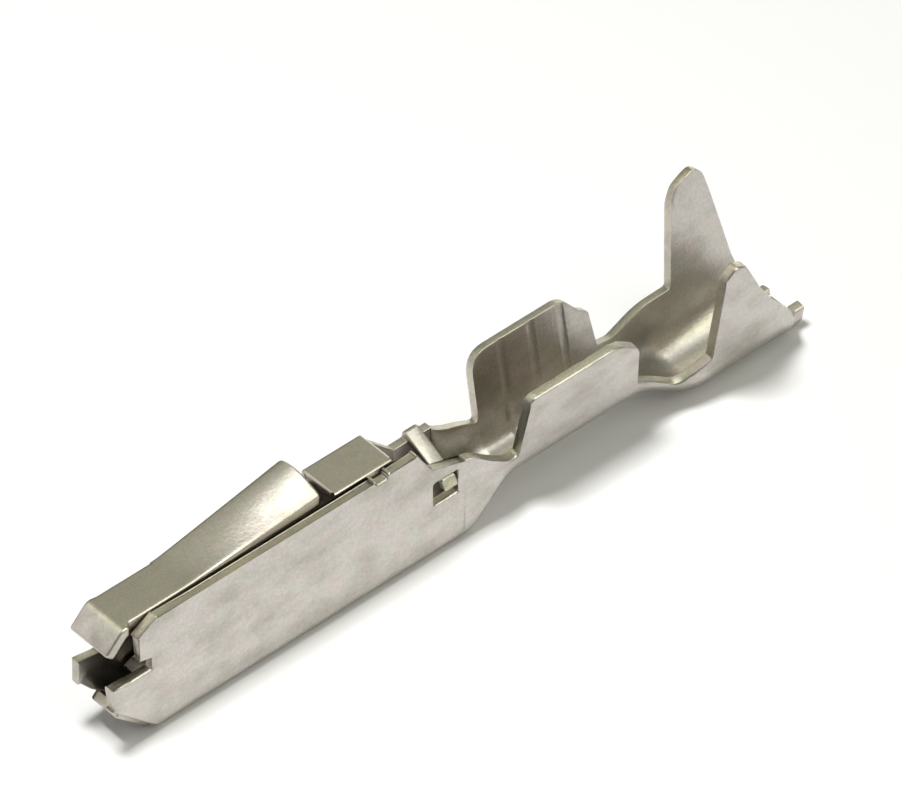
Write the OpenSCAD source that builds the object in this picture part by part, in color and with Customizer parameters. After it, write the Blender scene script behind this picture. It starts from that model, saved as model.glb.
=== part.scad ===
// Female crimp terminal, stamped and folded from one strip of thin sheet.
// X runs from the mating end to the wire end and Z is up. It lies on the bottom of its box,
// and the origin is the middle of that bottom. The code below counts X from the side tips.
// The near side is the side at -Y and the far side is the one at +Y.

/* [Sheet] */
// Thickness of the sheet
sheet = 0.18; // [0.14:0.01:0.2]
// Inside radius of the long folds of the box
fold_r = 0.07; // [0.04:0.01:0.1]

/* [Box] */
// Outer width of the box
box_w = 1.06; // [1:0.02:1.3]
// Outer height of the box
box_h = 2.6; // [2.4:0.05:3]
// Length of the box, from the tips of its side walls to its rear end
box_len = 7.7; // [7.5:0.1:9]
// Open seam between the folded top and the near wall
seam = 0.03; // [0.02:0.01:0.05]

/* [Nose] */
// Height of the lower corner of each side tip
tip_low = 1.05; // [0.9:0.05:1.15]
// Height of the side tips
tip_h = 0.52; // [0.4:0.04:0.6]
// How far the upper half of each side wall stands back from its tip
step_back = 0.58; // [0.5:0.02:0.7]
// Depth of the small slot above each tip
slot_len = 0.29; // [0.1:0.01:0.35]
// Height of that slot
slot_h = 0.24; // [0.1:0.02:0.3]
// How far the top edges of the side walls stand back from the tips
brow_back = 1; // [0.9:0.05:1.2]
// Height of the small chamfer at the top front of the side walls
brow_drop = 0.24; // [0.1:0.02:0.35]
// How far the bend of the upper lip stands back from the tips
lip_back = 0.48; // [0.4:0.02:0.6]
// Length of the straight part of the upper lip
lip_len = 0.42; // [0.2:0.02:0.42]
// Length of the straight part of the lower lip, which stands lower between the side walls
low_lip_len = 0.78; // [0.3:0.02:0.8]
// Angle by which both lips turn in
lip_angle = 45; // [30:5:55]

/* [Lance] */
// Distance from the brow to the root of the lance
lance_root = 0.75; // [0.5:0.05:1]
// Length of the lance
lance_len = 3; // [2:0.1:3.1]
// Rise of the free end above the box
lance_rise = 0.42; // [0.2:0.02:0.6]
// Height of the arch across the lance at its free end
lance_arch = 0.23; // [0.1:0.01:0.26]
// How much higher the far edge of the free end stands than the near edge
lance_twist = 0.28; // [0.1:0.01:0.3]
// Open gap behind the lance
lance_gap = 0.25; // [0.2:0.05:0.6]

/* [Box rear] */
// Distance from the rear edge of the top to the rear end of the box
top_back = 1.4; // [1.2:0.05:1.8]
// Distance from the notch in the near wall's upper edge to the rear edge of the top
notch_back = 0.3; // [0.2:0.02:0.6]
// Length of the notch
notch_len = 0.26; // [0.15:0.01:0.35]
// Depth of the notch
notch_d = 0.12; // [0.05:0.01:0.16]
// Distance from the end of the near wall's full height to the rear end of the box
shoulder_back = 1.05; // [0.9:0.05:1.3]
// Height of the side walls at the rear end
rear_h = 1.83; // [1.7:0.01:2]
// How much lower the far wall is at the strap's root than the near wall at the rear end
far_low_by = 0.06; // [0:0.02:0.1]
// Height of the strap's bend above the far wall beside it
strap_rise = 0.1; // [0.04:0.02:0.14]
// Length of the window in the near wall
window_len = 0.55; // [0.5:0.01:0.6]
// Height of the window
window_h = 0.5; // [0.4:0.02:0.55]
// Height of the window's lower edge
window_z = 1.2; // [1.1:0.02:1.25]
// Distance from the window to the rear end of the box
window_back = 0.15; // [0.15:0.01:0.3]
// Width of the cross strap that enters the window
strap_w = 0.36; // [0.3:0.01:0.42]
// Clearance behind the strap in the window
strap_gap = 0.03; // [0.02:0.01:0.06]

/* [Contact spring] */
// Thickness of the spring leaf
leaf_t = 0.14; // [0.1:0.01:0.16]
// Distance from the root of the leaf to the rear end of the box
leaf_back = 1.4; // [1:0.1:2]
// Height of the leaf's contact point
leaf_h = 1.25; // [1:0.05:1.4]
// Clearance between the leaf and the side walls
leaf_gap = 0.06; // [0.03:0.01:0.1]

/* [Neck] */
// Length from the box to the wire crimp
neck_len = 1.15; // [1:0.05:1.6]

/* [Wire crimp] */
// Length of the wire crimp
wire_len = 2.7; // [2.2:0.1:3.4]
// Outer radius of the wire barrel
wire_r = 0.57; // [0.5:0.01:0.65]
// Height of the barrel's bottom above the base of the box
wire_lift = 0.6; // [0.2:0.05:0.7]
// Height of the tips of the wire wings
wire_top = 2.6; // [2.3:0.05:2.9]
// Outward lean of the wire wings in degrees
wire_flare = 10; // [4:1:16]
// Corner radius of the wire wings
wire_corner = 0.42; // [0.2:0.02:0.5]
// Number of cross grooves inside the wire barrel
grooves = 3; // [2:1:4]
// Depth of a groove
groove_d = 0.03; // [0.02:0.01:0.06]

/* [Transition] */
// Length from the wire crimp to the insulation crimp
trans_len = 1.5; // [1.3:0.1:2]
// Height of the far wall where it meets its insulation wing
trans_far = 1.3; // [1.2:0.05:1.6]
// Height of the near wall at its lowest point between the crimps
trans_near = 0.66; // [0.6:0.02:0.8]

/* [Insulation crimp] */
// Length of the insulation crimp
ins_len = 1.95; // [1.7:0.05:2.4]
// Outer radius of the insulation barrel
ins_r = 0.8; // [0.7:0.02:0.95]
// Outward lean of the insulation wings in degrees
ins_flare = 8; // [3:1:14]
// Height of the far wing's tip
far_top = 3.48; // [3.2:0.04:3.8]
// Height of the near wing's tip
near_top = 3.1; // [2.8:0.05:3.4]
// How far the far wing is set behind the near wing
stagger = 0.44; // [0.2:0.02:0.5]

/* [Cut-off tab] */
// Length of the tab left by the carrier strip
tab_len = 0.5; // [0.4:0.05:0.8]
// Width of the tab
tab_w = 1; // [0.8:0.05:1.2]
// Height of the near side of the tab
tab_h = 0.5; // [0.4:0.02:0.6]

/* [Hidden] */

$fn = 48;
metal = "silver";

half_w = box_w / 2;
fold_out = fold_r + sheet;
far_edge = box_h - fold_out;
overcut = 1;
lap = 0.01;
// The lofted strip starts inside the walls of the box, this much thinner on each face.
skin = 0.01;
bury = 0.15;

x_wire = box_len + neck_len;
x_trans = x_wire + wire_len;
x_ins = x_trans + trans_len;
x_tab = x_ins + ins_len;
x_end = x_tab + tab_len;

tip_top = tip_low + tip_h;
// The step above each tip slopes down to the slot by this much, over the last part of its run.
slot_drop = 0.08;
slot_lead = 0.15;
slot_z = tip_top - slot_drop;
lance_x = brow_back + lance_root;
lance_end = lance_x + lance_len;
plate_x = lance_end + lance_gap;
plate_end = box_len - top_back;
near_y = -half_w + sheet + seam;
channel_half = half_w - sheet;
window_x = box_len - window_back - window_len;
barrel_top = wire_lift + wire_r;

function clamp(u) = max(0, min(1, u));
function ease(u) = let (c = clamp(u)) c * c * (3 - 2 * c);
function mix(a, b, u) = a + (b - a) * u;
// The lesser of two heights, with the corner between them rounded.
function soft_min(a, b, k) = min(a, b) - k * ln(1 + exp(-abs(a - b) / k));

// An outline in Y and Z, drawn out along X from x0 to x1.
module along_x(x0, x1) {
    translate([x0, 0, 0]) rotate([90, 0, 90]) linear_extrude(x1 - x0) children();
}

// An outline in X and Z, drawn out along Y from y0 to y1.
module along_y(y0, y1) {
    translate([0, y1, 0]) rotate([90, 0, 0]) linear_extrude(y1 - y0) children();
}

// A fold in section: it starts upright at the right and turns to the left by angle degrees,
// and a straight leg of the given length follows.
module fold(angle, r, t, leg) {
    reach = 3 * (r + t);
    intersection() {
        difference() {
            circle(r + t);
            circle(r);
        }
        polygon([[0, 0], [reach, 0], reach * [cos(angle / 2), sin(angle / 2)],
                 reach * [cos(angle), sin(angle)]]);
    }
    rotate(angle) translate([r, -lap]) square([t, leg + lap]);
}

// Side outline of the box, from its chamfered nose to its rear end. Its upper edge starts at
// brow: the walls' own chamfer, or the step where the top is folded over. It ends in the
// points of rear.
module side_outline(top, brow, rear) {
    polygon(concat([
        [tip_low, 0], [0, tip_low], [0, tip_top],
        [step_back - slot_lead, slot_z], [step_back + slot_len, slot_z],
        [step_back + slot_len, slot_z + slot_h], [step_back, slot_z + slot_h + slot_drop],
        [step_back, min(top, box_h - brow_drop)], [brow, top]
    ], rear, [[box_len, 0]]));
}

// Upper edges of the side walls where they drop towards the rear end.
shoulder_run = 0.3;
shoulder_low = 0.27;
notch_x = plate_end - notch_back - notch_len;
near_rear = [
    [notch_x, box_h], [notch_x, box_h - notch_d],
    [notch_x + notch_len, box_h - notch_d], [notch_x + notch_len, box_h],
    [box_len - shoulder_back, box_h],
    [box_len - shoulder_back + shoulder_run, rear_h + shoulder_low], [box_len, rear_h]
];
far_rear_z = rear_h - far_low_by;
far_rear = [[plate_end + 0.2, far_edge], [window_x, far_rear_z], [box_len, far_rear_z]];

// Bottom and side walls of the box, with rounded long folds.
module trough() {
    intersection() {
        along_x(0, box_len) difference() {
            wall_profile(half_w, fold_out, 0);
            wall_profile(half_w - sheet, fold_r, sheet);
        }
        union() {
            along_y(-half_w - overcut, 0) side_outline(box_h, brow_back, near_rear);
            along_y(0, half_w + overcut) side_outline(far_edge, step_back + lap, far_rear);
        }
    }
}

// A strip as wide as 2 * half, round at both lower corners and open above.
module wall_profile(half, r, base) {
    translate([-half, base + r]) square([2 * half, box_h + overcut]);
    translate([-half + r, base]) square([2 * (half - r), r]);
    for (side = [-1, 1]) translate([side * (half - r), base + r]) circle(r);
}

// Top of the box between two stations, folded over from the far wall to the seam.
module top_flap(x0, x1) {
    along_x(x0, x1) {
        translate([half_w - fold_out, far_edge])
            fold(90, fold_r, sheet, half_w - fold_out - near_y);
        translate([half_w - sheet, far_edge - sheet]) square(sheet);
    }
}

// A lip bent to the left from a flat sheet whose upper face is at the given height.
module lip(x, height, flat, straight) {
    translate([x, height - fold_out]) rotate(90) fold(lip_angle, fold_r, sheet, straight);
    translate([x, height - sheet]) square([flat, sheet]);
}

// Front edge of the top, bent down as a lead-in. It ends just inside the far fold.
module upper_lip() {
    fold_inset = 0.07;
    along_y(near_y, half_w - fold_inset)
        lip(lip_back, box_h, brow_back - lip_back + bury, lip_len);
}

// Front edge of the bottom, bent up between the side walls.
module lower_lip() {
    gap = 0.02;
    bend_x = tip_low - 0.1;
    along_y(-channel_half + gap, channel_half - gap)
        mirror([0, 1]) lip(bend_x, 0, tip_low - bend_x + 2 * bury, low_lip_len);
}

// A closed skin over a grid of points: rows of points that each close on themselves.
module loft(rings) {
    n = len(rings[0]);
    last = len(rings) - 1;
    half = n / 2;
    polyhedron(
        points = [for (ring = rings) each ring],
        faces = concat(
            [for (i = [0 : last - 1], j = [0 : n - 1])
                let (a = i * n + j, b = i * n + (j + 1) % n) each [[a, b, b + n], [a, b + n, a + n]]],
            [for (j = [0 : half - 2]) each [[n - 1 - j, j + 1, j], [n - 1 - j, n - 2 - j, j + 1]]],
            [for (j = [0 : half - 2]) let (o = last * n)
                each [[o + n - 1 - j, o + j, o + j + 1], [o + n - 1 - j, o + j + 1, o + n - 2 - j]]]
        )
    );
}

// The lance: a tongue of the top that rises towards its free rear end and arches across, with
// its near edge left low.
lance_rows = 18;
lance_cols = 10;
lance_y1 = half_w - 0.04;
// Exponent of the rise along the lance.
lance_curve = 1.35;

// Share of the full rise at one station, and a point of the section there at depth d below the
// upper face. It runs across from v = 0 at the near edge to v = 1 at the far edge.
function lance_share(x) = pow(clamp((x - lance_x) / lance_len), lance_curve);
function lance_point(x, v, d) =
    let (share = lance_share(x), side = 2 * v - 1,
         z = share * (lance_rise - lance_arch * side * side + lance_twist / 2 * side),
         slope = share * (lance_twist / 2 - 2 * lance_arch * side) * 2 / (lance_y1 - near_y),
         normal = [-slope, 1] / norm([slope, 1]))
    [x, mix(near_y, lance_y1, v) - d * normal[0],
     box_h - (x < lance_x ? skin : 0) + z - d * normal[1]];

function lance_ring(x) =
    let (t = x < lance_x ? sheet - 2 * skin : sheet)
    concat(
        [for (j = [0 : lance_cols]) lance_point(x, j / lance_cols, 0)],
        [for (j = [lance_cols : -1 : 0]) lance_point(x, j / lance_cols, t)]
    );

module lance() {
    loft([lance_ring(lance_x - bury), each [for (i = [0 : lance_rows])
        lance_ring(lance_x + lance_len * i / lance_rows)]]);
}

// Strap from the far wall that crosses the channel and locks in the near wall's window.
module cross_strap() {
    turn = 125;
    inset = 0.02;
    pivot = [half_w - fold_out, far_rear_z + strap_rise];
    leg = (pivot[0] + half_w - inset) / sin(turn) + fold_out * cos(turn);
    strap_end = window_x + window_len - strap_gap;
    along_x(strap_end - strap_w, strap_end) {
        translate(pivot) fold(turn, fold_r, sheet, leg);
        translate([half_w - sheet, far_rear_z - bury]) square([sheet, strap_rise + bury + lap]);
    }
}

module window() {
    translate([window_x, -half_w - overcut, window_z])
        cube([window_len, overcut + fold_out, window_h]);
}

// Spring leaf inside the box: it leaves the floor near the rear, rises to the contact point
// and dips again behind the mouth.
leaf_root = box_len - leaf_back;
leaf_reach = 1.1;
leaf_peak = brow_back + leaf_reach;
leaf_tip = brow_back - 0.05;
leaf_dip = 0.3;
leaf_foot = 0.3;
leaf_steps = 28;

function leaf_z(x) = x > leaf_peak
    ? mix(leaf_t / 2 + skin, leaf_h - leaf_t / 2, ease((leaf_root - x) / (leaf_root - leaf_peak)))
    : leaf_h - leaf_t / 2 - leaf_dip * pow((leaf_peak - x) / (leaf_peak - leaf_tip), 2);

module contact_spring() {
    leaf_half = channel_half - leaf_gap;
    xs = [for (i = [0 : leaf_steps]) mix(leaf_tip, leaf_root + leaf_foot, i / leaf_steps)];
    along_y(-leaf_half, leaf_half) polygon(concat(
        [for (x = xs) [x, leaf_z(x) + leaf_t / 2]],
        [for (i = [leaf_steps : -1 : 0]) [xs[i], leaf_z(xs[i]) - leaf_t / 2]]
    ));
}

// Strip behind the box, as sections along X. Each value blends from one stage to the next.
tab_run = tab_len * 0.6;
function stage(x, box, wire, ins, tab) =
    mix(mix(mix(box, wire, ease((x - box_len) / neck_len)),
            ins, ease((x - x_trans) / trans_len)),
        tab, ease((x - x_tab) / tab_run));

function strip_half(x) = stage(x, half_w - skin, wire_r, ins_r, tab_w / 2);
function strip_r(x) = stage(x, fold_out - skin, wire_r - skin, ins_r - skin, fold_out);
function strip_base(x) = stage(x, skin, wire_lift, 0, 0);
function strip_lean(x) = stage(x, 0, wire_flare, ins_flare, ins_flare);
function strip_t(x) = stage(x, sheet - 2 * skin, sheet, sheet, sheet) - groove(x);

// Depth of the cross grooves at one station of the wire crimp.
groove_pitch = wire_len / (grooves + 1);
groove_w = 0.16;
groove_xs = [for (i = [1 : grooves]) x_wire + i * groove_pitch];
function groove(x) = groove_d * max([for (g = groove_xs) clamp(2 - 4 * abs(x - g) / groove_w)]);

// Height of a wire wing from x0 to x1, with its upper corners rounded by r0 and r1.
far_short = 0.1;
near_nose = 0.12;
function corner(d, r) = d >= r ? 0 : r - sqrt(max(0, r * r - (r - d) * (r - d)));
function wire_wing(x, x1, r0, r1) = x < x_wire || x > x1 ? 0
    : wire_top - corner(x - x_wire, r0) - corner(x1 - x, r1);

// Outlines of the insulation wings: share of the length against share of the height.
near_wing = [[0, 0], [0.01, 0.9], [0.04, 0.97], [0.1, 1], [0.19, 0.99], [0.26, 0.94],
             [0.33, 0.82], [0.45, 0.64], [0.69, 0.34], [0.9, 0.14], [1, 0]];
far_wing = [[0, 0], [0.03, 0.2], [0.07, 0.5], [0.14, 0.9], [0.23, 0.98], [0.33, 1],
            [0.47, 0.99], [0.59, 0.91], [0.69, 0.76], [0.79, 0.5], [0.89, 0.24], [1, 0]];
near_foot = 0.6;
far_foot = 0.6;
near_from = x_ins + 0.02;
near_to = x_tab + 0.1;
far_from = x_ins + stagger;
far_to = x_tab + 0.2;
function ins_wing(x, from, to, foot, top, shape) = x <= from || x >= to ? 0
    : mix(foot, top, lookup((x - from) / (to - from), shape));

// Height of the low walls that link the wings along the strip. The near one dips behind the
// wire crimp, and the low sides of the tab follow behind the wings.
wall_z = barrel_top + 0.05;
near_end = 1;
far_tab_h = tab_h - 0.2;
wing_lead = 0.2;
function neck_wall(x) = mix(rear_h - skin, wall_z, ease((x - box_len) / neck_len));
function low_wall(x, from, shape, end) = x < x_wire ? neck_wall(x)
    : x < from + wing_lead ? lookup((x - x_trans) / (from - x_trans), shape) : end;
near_low = [[0, wall_z], [0.25, mix(trans_near, wall_z, 0.6)], [0.57, trans_near],
            [0.75, mix(trans_near, near_end, 0.5)], [1, near_end]];
far_low = [[0, wall_z], [0.7, wall_z], [1, trans_far]];

function near_height(x) = max(
    low_wall(x, near_from, near_low, tab_h),
    wire_wing(x, x_trans, near_nose, wire_corner * 1.8),
    ins_wing(x, near_from, near_to, near_foot, near_top, near_wing));

function far_height(x) = max(
    low_wall(x, far_from, far_low, far_tab_h),
    wire_wing(x, x_trans - far_short, wire_corner, wire_corner),
    ins_wing(x, far_from, far_to, far_foot, far_top, far_wing));

arc_steps = 7;
leg_steps = 2;
// Least height of a wall above its arc, and the share of the radius kept clear of its end.
leg_min = 0.03;
arc_keep = 0.08;

// Points of one side of a section, from the bottom up, at depth d below the outer face.
function strip_side(x, side, top, d) =
    let (r = strip_r(x), base = strip_base(x), lean = strip_lean(x),
         cy = strip_half(x) - r, cz = base + r,
         last = min(-lean, asin(clamp((top - base) / r - arc_keep) - 1)),
         rise = max(leg_min, (top - cz - r * sin(last)) / cos(last)))
    concat(
        [for (i = [0 : arc_steps]) let (a = mix(-90, last, i / arc_steps))
            [x, side * (cy + (r - d) * cos(a)), cz + (r - d) * sin(a)]],
        [for (i = [1 : leg_steps]) let (s = rise * i / leg_steps)
            [x, side * (cy + (r - d) * cos(last) - s * sin(last)),
             cz + (r - d) * sin(last) + s * cos(last)]]
    );

function reverse(list) = [for (i = [len(list) - 1 : -1 : 0]) list[i]];

function strip_ring(x) =
    let (hn = near_height(x), hf = far_height(x), t = strip_t(x))
    concat(
        reverse(strip_side(x, 1, hf, 0)), strip_side(x, -1, hn, 0),
        reverse(strip_side(x, -1, hn, t)), strip_side(x, 1, hf, t)
    );

function span(x0, x1, n) = [for (i = [0 : n - 1]) mix(x0, x1, i / n)];

// Sorted values, without any that lie closer to the one before than the step.
function sorted(list) = len(list) < 2 ? list
    : let (p = list[floor(len(list) / 2)])
      concat(sorted([for (v = list) if (v < p) v]), [p], sorted([for (v = list) if (v > p) v]));
function thinned(list, step) = [for (i = 0, kept = -step; i < len(list);
    kept = list[i] - kept >= step ? list[i] : kept, i = i + 1)
    if (list[i] - kept >= step) list[i]];

// Stations along the strip: evenly spaced ones, and more where an outline turns.
even = 0.13;
strip_stations = thinned(sorted(concat(
    [box_len - bury, box_len - skin],
    span(box_len + even / 2, x_end, round((x_end - box_len) / even)),
    [x_wire - lap, x_wire + near_nose / 3, x_wire + near_nose, x_wire + wire_corner / 4],
    span(x_trans - far_short - wire_corner, x_trans, 10),
    [for (g = groove_xs, d = [-0.5, -0.25, 0.25, 0.5]) g + d * groove_w],
    [x_trans - far_short, x_trans - far_short + lap, x_trans, x_trans + lap],
    [for (p = near_wing) mix(near_from, near_to, p[0])],
    [for (p = far_wing) mix(far_from, far_to, p[0])],
    [x_end]
)), lap * 0.9);

module crimp_strip() {
    loft([for (x = strip_stations) strip_ring(x)]);
}

// The whole part, one folded piece.
module terminal() {
    color(metal) translate([-box_len / 2, 0, 0]) {
        difference() {
            trough();
            window();
        }
        top_flap(brow_back, lance_x);
        upper_lip();
        lower_lip();
        lance();
        top_flap(plate_x, plate_end);
        cross_strap();
        contact_spring();
        crimp_strip();
    }
}

terminal();
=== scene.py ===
"""Female crimp terminal of thin tinned sheet, on a plain pale floor."""

import bisect
import math
from types import SimpleNamespace

import bmesh
import bpy
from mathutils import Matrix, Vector


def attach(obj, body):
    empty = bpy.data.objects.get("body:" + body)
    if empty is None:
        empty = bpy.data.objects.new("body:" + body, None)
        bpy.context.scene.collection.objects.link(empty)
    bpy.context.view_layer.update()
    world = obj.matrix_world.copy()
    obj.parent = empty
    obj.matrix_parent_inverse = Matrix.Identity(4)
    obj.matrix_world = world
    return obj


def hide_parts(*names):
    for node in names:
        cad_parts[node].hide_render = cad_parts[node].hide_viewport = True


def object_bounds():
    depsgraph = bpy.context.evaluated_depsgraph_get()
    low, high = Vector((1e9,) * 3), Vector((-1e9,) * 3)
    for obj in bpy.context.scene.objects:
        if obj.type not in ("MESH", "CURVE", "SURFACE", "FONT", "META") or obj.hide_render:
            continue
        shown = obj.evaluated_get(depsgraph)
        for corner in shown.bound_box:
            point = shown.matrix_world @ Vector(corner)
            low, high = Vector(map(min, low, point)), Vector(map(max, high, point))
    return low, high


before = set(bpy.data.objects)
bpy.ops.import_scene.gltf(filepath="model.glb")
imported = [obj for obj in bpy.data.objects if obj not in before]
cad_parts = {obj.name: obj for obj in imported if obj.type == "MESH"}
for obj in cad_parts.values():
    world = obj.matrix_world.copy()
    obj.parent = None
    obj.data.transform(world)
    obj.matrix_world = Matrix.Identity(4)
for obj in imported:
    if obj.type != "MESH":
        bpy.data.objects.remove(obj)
CAD_BOX = [list(corner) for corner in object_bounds()]

bl_info = {
    "name": "Crimp Terminal",
    "version": (1, 0, 0),
    "blender": (4, 5, 0),
    "location": "View3D > Sidebar > Terminal",
    "description": "Builds a female crimp terminal and the studio that it stands in",
    "category": "Object",
}

MM = 0.001
# The solids' X counts from the middle of the box, and the code here from the side tips.
NOSE_X = CAD_BOX[0][0]


def length(name, description, default):
    """A length whose default is given in millimetres."""
    return bpy.props.FloatProperty(name=name, description=description, unit="LENGTH",
                                   precision=5, default=default * MM)


def angle(name, description, default):
    return bpy.props.FloatProperty(name=name, description=description, subtype="ANGLE",
                                   default=math.radians(default))


class SheetSizes(bpy.types.PropertyGroup):
    """Sizes of the sheet and of the box folded from it."""

    sheet: length("Sheet", "Thickness of the sheet", 0.18)
    roll: length("Edge roll", "Rounding of the cut edges on the outer face", 0.042)
    burr: length("Burr side", "Rounding of the cut edges on the inner face", 0.014)
    fold: length("Fold", "Outer radius of the folds", 0.25)
    tight_fold: length("Tight fold", "Outer radius of the top's and the strap's folds", 0.08)
    half_width: length("Half width", "Half the outer width of the box", 0.53)
    height: length("Height", "Outer height of the box", 2.6)
    box_end: length("Box end", "Rear end of the box, from the side tips", 7.7)
    seam_y: length("Seam", "Y of the folded top's edge at the seam", -0.32)
    brow: length("Brow", "Front of the walls' full height", 1.0)
    lip: length("Lip", "Length of the straight part of the upper lip", 0.42)
    low_lip: length("Lower lip", "Length of the straight part of the lower lip", 0.78)
    lance_from: length("Lance from", "Root of the lance", 1.75)
    lance_to: length("Lance to", "Free end of the lance", 4.72)
    lance_far: length("Lance far", "Rise of the far corner of the lance's free end", 0.56)
    lance_near: length("Lance near", "Rise of the near corner of the lance's free end", 0.19)
    lance_crown: length("Lance crown", "Crown across the lance's free end", 0.28)
    plate_from: length("Plate from", "Front edge of the top behind the lance", 5.0)
    plate_to: length("Plate to", "Rear edge of the top", 6.3)
    notch: length("Notch", "Depth of the notch in the near wall's upper edge", 0.12)
    notch_from: length("Notch from", "Front end of the notch", 5.74)
    notch_to: length("Notch to", "Rear end of the notch", 6.0)
    strap_from: length("Strap from", "Front edge of the cross strap", 7.2)
    strap_to: length("Strap to", "Rear edge of the cross strap", 7.52)
    strap_z: length("Strap height", "Height at which the cross strap starts to bend", 2.0)
    far_rear: length("Far rear", "Height of the far wall beside the strap", 1.95)


class CrimpSizes(bpy.types.PropertyGroup):
    """Sizes of the strip behind the box."""

    wire_from: length("Wire from", "Front end of the wire crimp", 8.85)
    wire_to: length("Wire to", "Rear end of the wire crimp", 11.55)
    wire_radius: length("Wire radius", "Outer radius of the wire barrel", 0.57)
    wire_lift: length("Wire lift", "Height of the wire barrel's bottom", 0.6)
    wire_lean: angle("Wire lean", "Outward lean of the wire wings", 10)
    hull_from: length("Insulation from", "Front end of the insulation crimp", 13.05)
    hull_to: length("Insulation to", "Rear end of the insulation crimp", 15.0)
    hull_radius: length("Insulation radius", "Outer radius of the insulation barrel", 0.8)
    hull_lean: angle("Insulation lean", "Outward lean of the insulation wings", 8)
    tab_half: length("Tab", "Half width of the cut-off tab", 0.5)
    tab_run: length("Tab run", "Length over which the barrel runs out into the tab", 0.3)
    end: length("End", "Rear end of the tab", 15.5)
    grooves: bpy.props.IntProperty(
        name="Grooves", description="Cross grooves inside the wire barrel", default=3, min=1)
    groove_depth: length("Groove depth", "Depth of a groove", 0.012)
    groove_width: length("Groove width", "Width of a groove", 0.16)


def millimetres(settings):
    """The lengths among the settings, in millimetres."""
    return SimpleNamespace(**{
        name: getattr(settings, name) / MM for name, prop in settings.bl_rna.properties.items()
        if prop.type == "FLOAT" and prop.unit == "LENGTH" and not prop.is_array})


class TerminalFinish(bpy.types.PropertyGroup):
    """Colours and surface of the plated sheet."""

    tin: bpy.props.FloatVectorProperty(
        name="Tin", description="Colour of the tin plating", subtype="COLOR",
        size=3, min=0, max=1, default=(0.61, 0.575, 0.56))
    tarnish: bpy.props.FloatVectorProperty(
        name="Tarnish", description="Colour of the duller patches", subtype="COLOR",
        size=3, min=0, max=1, default=(0.50, 0.47, 0.44))
    bare: bpy.props.FloatVectorProperty(
        name="Sheared edge", description="Colour of the cut edges", subtype="COLOR",
        size=3, min=0, max=1, default=(0.60, 0.56, 0.48))
    patch: length("Patch", "Size of the duller patches", 0.55)
    speck: length("Speck", "Size of the crystals in the plating", 0.05)
    grain: length("Grain", "Width of the rolling lines along the sheet", 0.02)
    roughness: bpy.props.FloatProperty(
        name="Roughness", description="Roughness of the plating", default=0.34, min=0, max=1)
    edge_roughness: bpy.props.FloatProperty(
        name="Edge roughness", description="Roughness of the cut edges",
        default=0.42, min=0, max=1)


class StudioSettings(bpy.types.PropertyGroup):
    """Camera, floor and light."""

    azimuth: bpy.props.FloatProperty(
        name="Azimuth", description="Camera's turn about the upright axis",
        subtype="ANGLE", default=math.radians(-41.3))
    elevation: bpy.props.FloatProperty(
        name="Elevation", description="Camera's height above the horizon",
        subtype="ANGLE", default=math.radians(43.19))
    roll: bpy.props.FloatProperty(
        name="Roll", description="Camera's turn about its own axis",
        subtype="ANGLE", default=math.radians(-0.587))
    distance: bpy.props.FloatProperty(
        name="Distance", description="Camera's distance from the terminal",
        subtype="DISTANCE", unit="LENGTH", default=0.13866)
    lens: bpy.props.FloatProperty(
        name="Lens", description="Focal length in millimetres", default=331.96)
    aim: bpy.props.FloatVectorProperty(
        name="Aim", description="Point at the middle of the picture", subtype="XYZ",
        unit="LENGTH", size=3, default=(0.0029050, 0, 0.0013))
    aim_right: bpy.props.FloatProperty(
        name="Aim right", description="Shift of the aim to the right",
        unit="LENGTH", default=0.000813)
    aim_up: bpy.props.FloatProperty(
        name="Aim up", description="Shift of the aim upwards",
        unit="LENGTH", default=0.001549)
    key: bpy.props.FloatProperty(
        name="Key light", description="Power of the overhead softbox in watts",
        default=0.071, min=0)
    fill: bpy.props.FloatProperty(
        name="Fill", description="Share of the world's light that reaches the floor",
        default=0.15, min=0, max=1)
    softbox: length("Softbox", "Width of the overhead softbox", 20)
    floor_glow: bpy.props.FloatProperty(
        name="Floor glow", description="Light of its own that the floor shows to the camera",
        default=0.04, min=0, max=1)
    floor: bpy.props.FloatVectorProperty(
        name="Floor", description="Colour of the floor", subtype="COLOR",
        size=3, min=0, max=1, default=(0.86, 0.86, 0.86))


def nodes_of(material):
    material.use_nodes = True
    tree = material.node_tree
    tree.nodes.clear()
    return tree


def add(tree, kind, **values):
    node = tree.nodes.new(kind)
    for key, value in values.items():
        if hasattr(node, key):
            setattr(node, key, value)
        else:
            node.inputs[key.replace("_", " ")].default_value = value
    return node


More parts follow.
